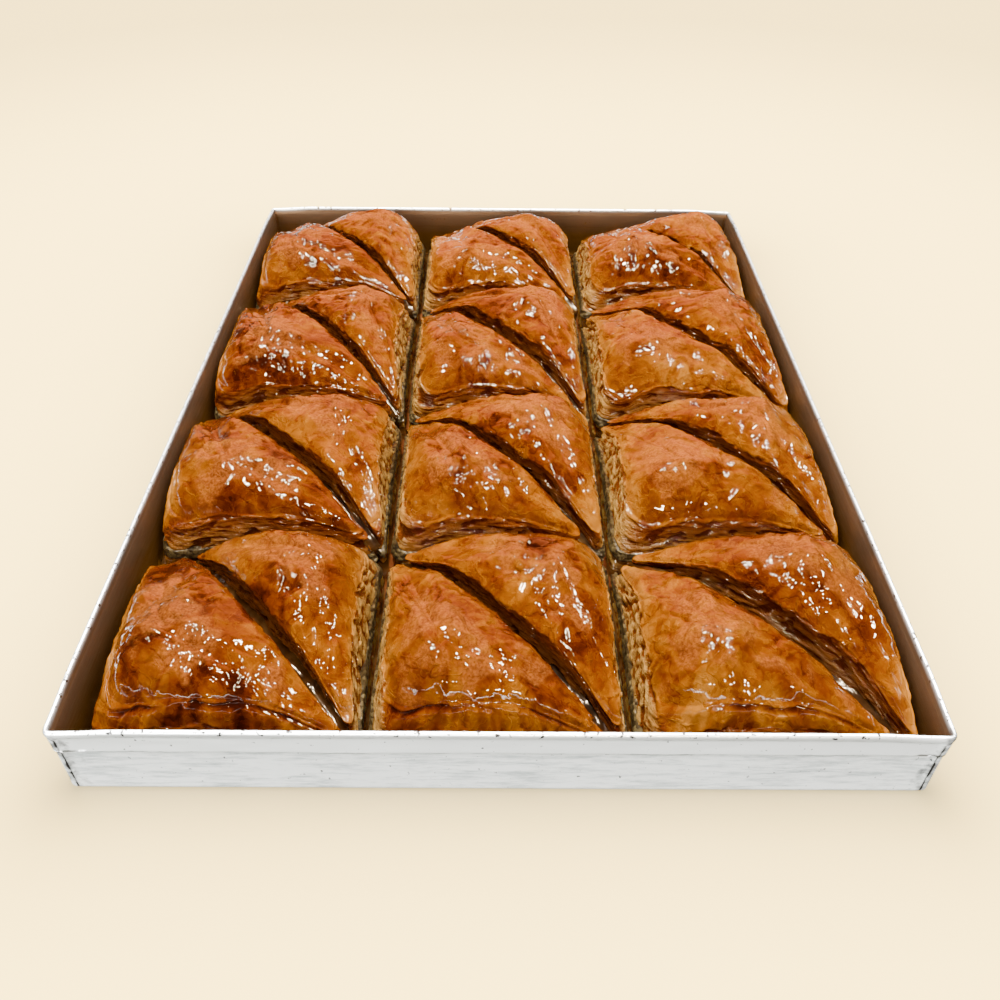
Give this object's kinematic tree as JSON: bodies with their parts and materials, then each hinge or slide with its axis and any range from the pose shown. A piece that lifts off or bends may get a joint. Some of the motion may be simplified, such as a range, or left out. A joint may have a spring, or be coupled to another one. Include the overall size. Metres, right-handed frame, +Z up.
{
  "type": "tray of pistachio baklava",
  "caption": "Rectangular aluminium baking tray with a turned-down hem, filled with square blocks of syrupy layered pastry, each cut corner to corner into puffed triangles.",
  "frame": {"origin": "middle of the tray's flat underside", "axes": "+X along the short side to the right, +Y along the long side to the back, +Z up"},
  "size_m": [0.3, 0.4, 0.0481],
  "materials": {
    "tray_metal": "worn satin sheet with darker stains inside",
    "pastry": "browned filo leaves under clear sugar syrup",
    "pistachio": "ground pistachio soaked in syrup",
    "syrup": "clear amber sugar syrup"
  },
  "bodies": {
    "root": {"tray": "tray_metal", "baklava_row1_column1_lower": "pastry", "baklava_row1_column1_upper": "pastry", "baklava_row1_column2_lower": "pastry", "baklava_row1_column2_upper": "pastry", "baklava_row1_column3_lower": "pastry", "baklava_row1_column3_upper": "pastry", "baklava_row2_column1_lower": "pastry", "baklava_row2_column1_upper": "pastry", "baklava_row2_column2_lower": "pastry", "baklava_row2_column2_upper": "pastry", "baklava_row2_column3_lower": "pastry", "baklava_row2_column3_upper": "pastry", "baklava_row3_column1_lower": "pastry", "baklava_row3_column1_upper": "pastry", "baklava_row3_column2_lower": "pastry", "baklava_row3_column2_upper": "pastry", "baklava_row3_column3_lower": "pastry", "baklava_row3_column3_upper": "pastry", "baklava_row4_column1_lower": "pastry", "baklava_row4_column1_upper": "pastry", "baklava_row4_column2_lower": "pastry", "baklava_row4_column2_upper": "pastry", "baklava_row4_column3_lower": "pastry", "baklava_row4_column3_upper": "pastry"}
  },
  "joints": []
}
